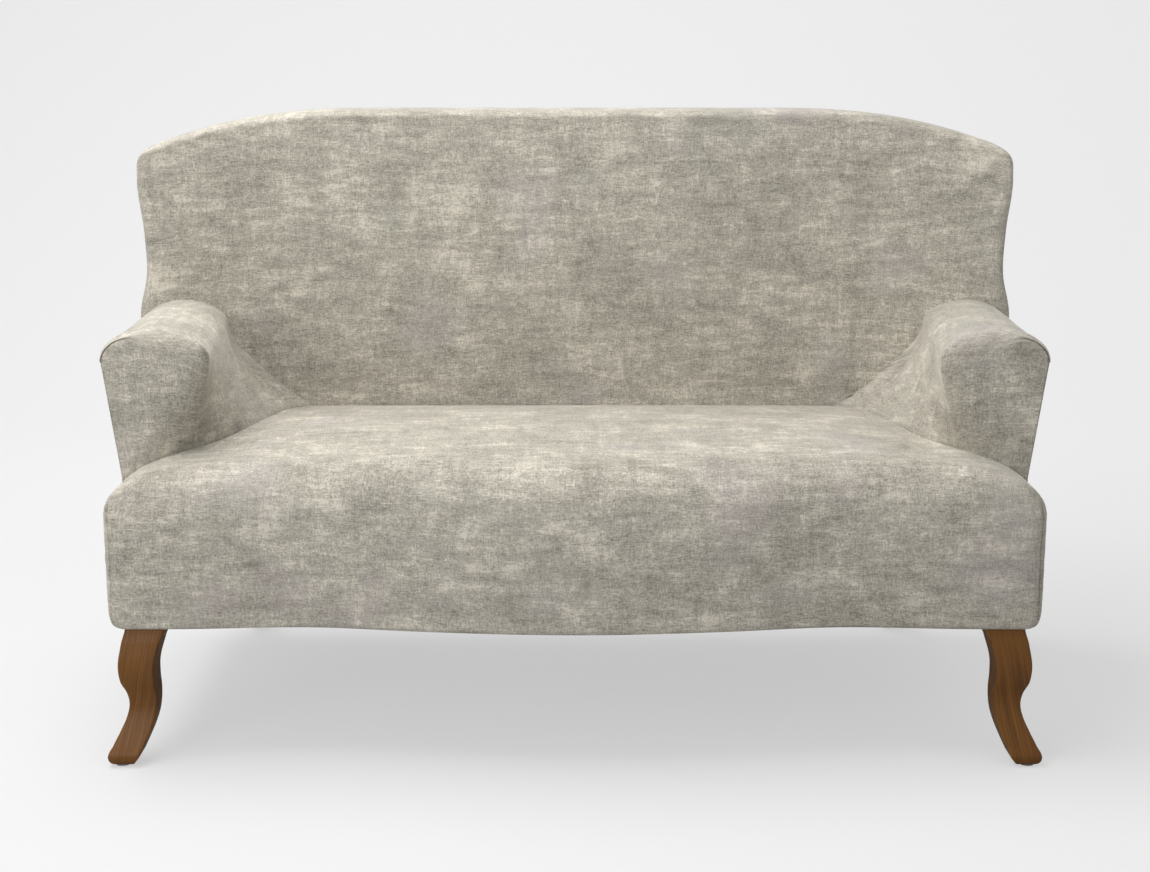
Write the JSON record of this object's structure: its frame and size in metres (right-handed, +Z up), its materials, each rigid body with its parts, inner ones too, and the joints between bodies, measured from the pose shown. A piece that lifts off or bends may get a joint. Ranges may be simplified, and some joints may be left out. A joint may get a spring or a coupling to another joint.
{
  "type": "cabriole sofa",
  "caption": "Upholstered two-seat cabriole sofa with an arched winged back, scrolled arms, a serpentine seat front and show-wood legs.",
  "frame": {"origin": "on the floor, under the centre of the sofa's box", "axes": "+X to the right of someone facing the sofa's front, +Y to the rear, +Z up"},
  "size_m": [1.54, 0.7654, 0.98],
  "materials": {
    "upholstery_fabric": "matt linen-look velvet with a cloudy, slubby pile",
    "stained_wood": "satin varnish over a mid-brown stain",
    "frame_timber": "planed and unfinished",
    "hardboard": "plain",
    "foam": "open-cell foam",
    "hessian": "plain weave",
    "black_cloth": "non-woven dust cloth",
    "steel": "zinc plated"
  },
  "bodies": {
    "root": {"front_leg_left": "stained_wood", "front_leg_right": "stained_wood", "rear_leg_left": "stained_wood", "rear_leg_right": "stained_wood", "foot_glides": "steel", "leg_bolts": "steel", "leg_nuts": "steel", "front_rail": "frame_timber", "rear_rail": "frame_timber", "side_rail_left": "frame_timber", "side_rail_right": "frame_timber", "centre_rail": "frame_timber", "corner_blocks": "frame_timber", "corner_block_screws": "steel", "seat_frame_dowels": "frame_timber", "back_stile_left": "frame_timber", "back_stile_right": "frame_timber", "back_top_rail": "frame_timber", "back_tack_rail": "frame_timber", "back_muntins": "frame_timber", "back_frame_dowels": "frame_timber", "back_webbing": "hessian", "arm_post_left": "frame_timber", "arm_post_right": "frame_timber", "arm_top_rail_left": "frame_timber", "arm_top_rail_right": "frame_timber", "arm_tack_rail_left": "frame_timber", "arm_tack_rail_right": "frame_timber", "seat_springs": "steel", "spring_clips": "steel", "spring_ties": "steel", "spring_cloth": "hessian", "seat_foam": "foam", "front_border_pad": "foam", "back_foam": "foam", "arm_foam_left": "foam", "arm_foam_right": "foam", "arm_facing_pad_left": "foam", "arm_facing_pad_right": "foam", "seat_cover": "upholstery_fabric", "inside_back_cover": "upholstery_fabric", "arm_cover_left": "upholstery_fabric", "arm_cover_right": "upholstery_fabric", "arm_facing_left": "upholstery_fabric", "arm_facing_right": "upholstery_fabric", "outside_arm_panel_left": "hardboard", "outside_arm_panel_right": "hardboard", "outside_arm_cover_left": "upholstery_fabric", "outside_arm_cover_right": "upholstery_fabric", "outside_back_panel": "hardboard", "outside_back_cover": "upholstery_fabric", "dust_cover": "black_cloth"}
  },
  "joints": []
}
